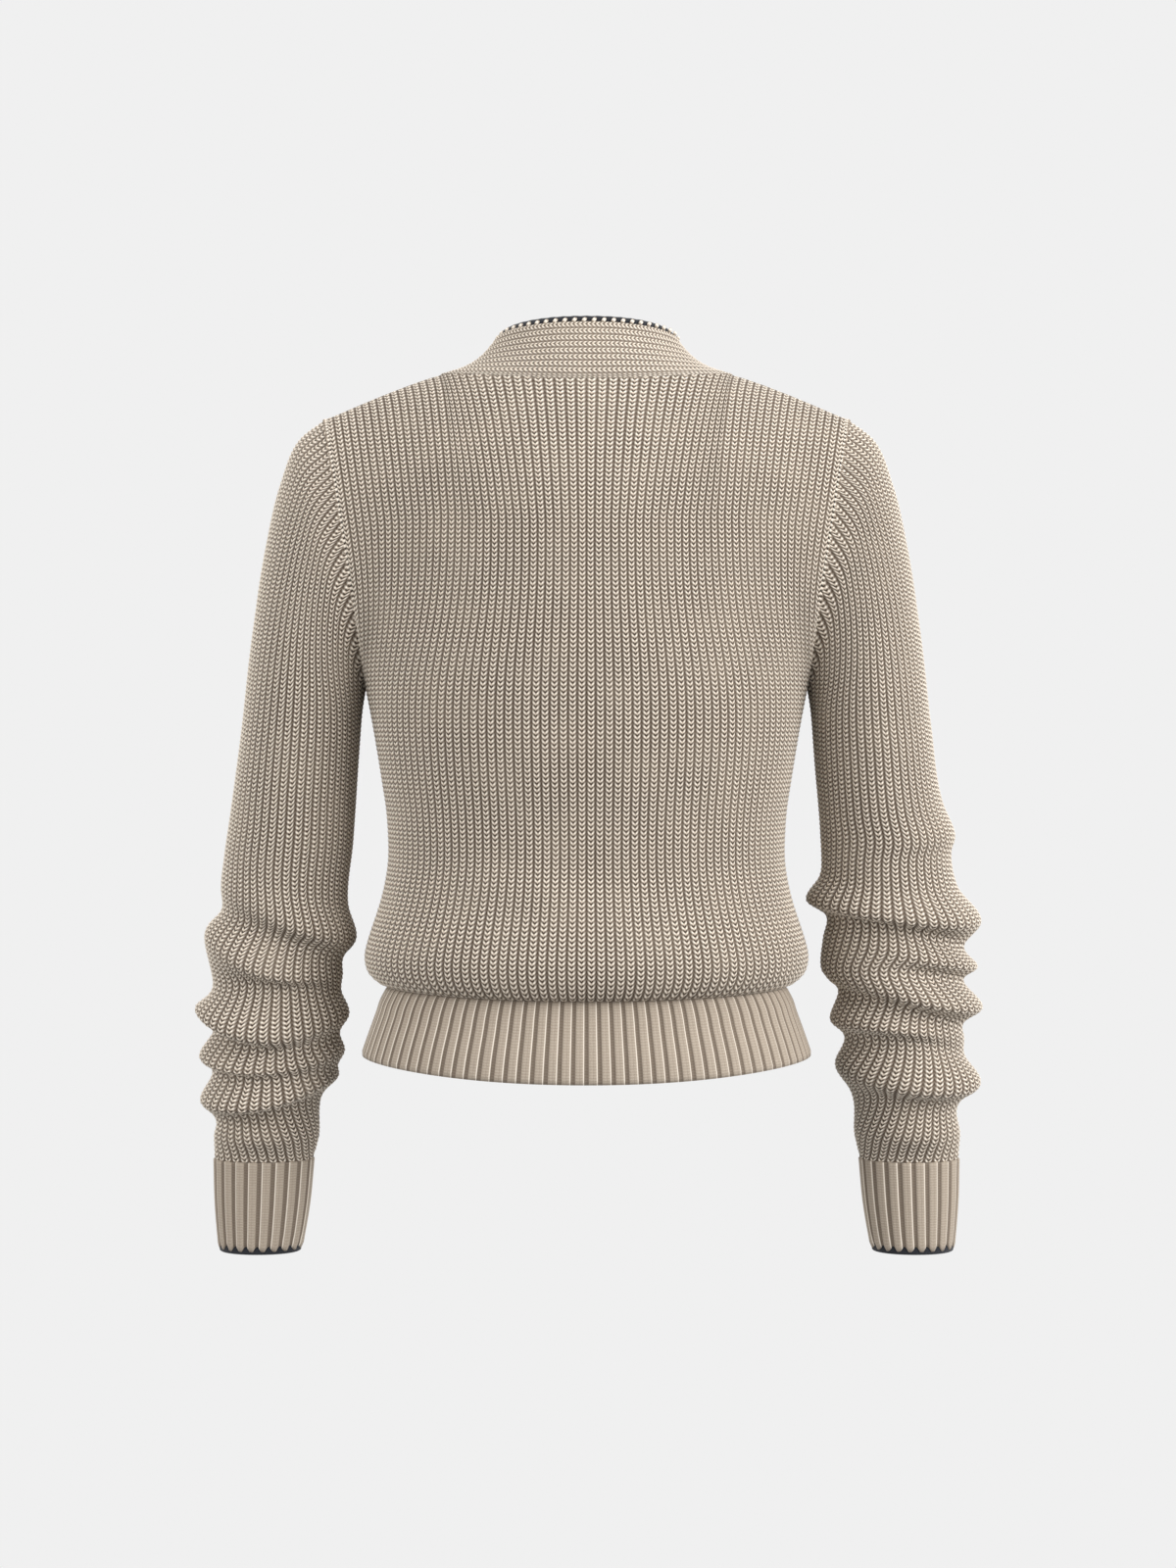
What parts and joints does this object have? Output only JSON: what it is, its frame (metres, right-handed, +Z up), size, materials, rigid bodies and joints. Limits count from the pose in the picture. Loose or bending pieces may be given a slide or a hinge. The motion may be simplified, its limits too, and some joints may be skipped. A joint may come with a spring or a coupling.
{
  "type": "cardigan",
  "caption": "Rib-knit V-neck cardigan, buttoned and filled out as worn, with slouched long sleeves, ribbed hem, cuffs and dark-edged neckband.",
  "frame": {"origin": "middle of the neck's base, level with the points where the shoulder seams meet the neckline; the wearer's neck holds it there", "axes": "+Z up, the front faces -Y, +X is the wearer's left"},
  "size_m": [0.5637, 0.2311, 0.6637],
  "materials": {
    "knit": "oatmeal half-cardigan rib knit, soft and matte",
    "tipping": "charcoal knitted edge row, matte",
    "horn": "dark horn-look button, satin"
  },
  "bodies": {
    "root": {"back": "knit", "front_left": "knit", "front_right": "knit", "sleeve_left": "knit", "sleeve_right": "knit", "cuff_left": "knit", "cuff_right": "knit", "hem_back": "knit", "hem_front_left": "knit", "hem_front_right": "knit", "neckband": "knit", "neckband_tipping": "tipping", "cuff_tipping_left": "tipping", "cuff_tipping_right": "tipping", "button_1": "horn", "button_2": "horn", "button_3": "horn", "button_4": "horn", "button_5": "horn"}
  },
  "joints": []
}
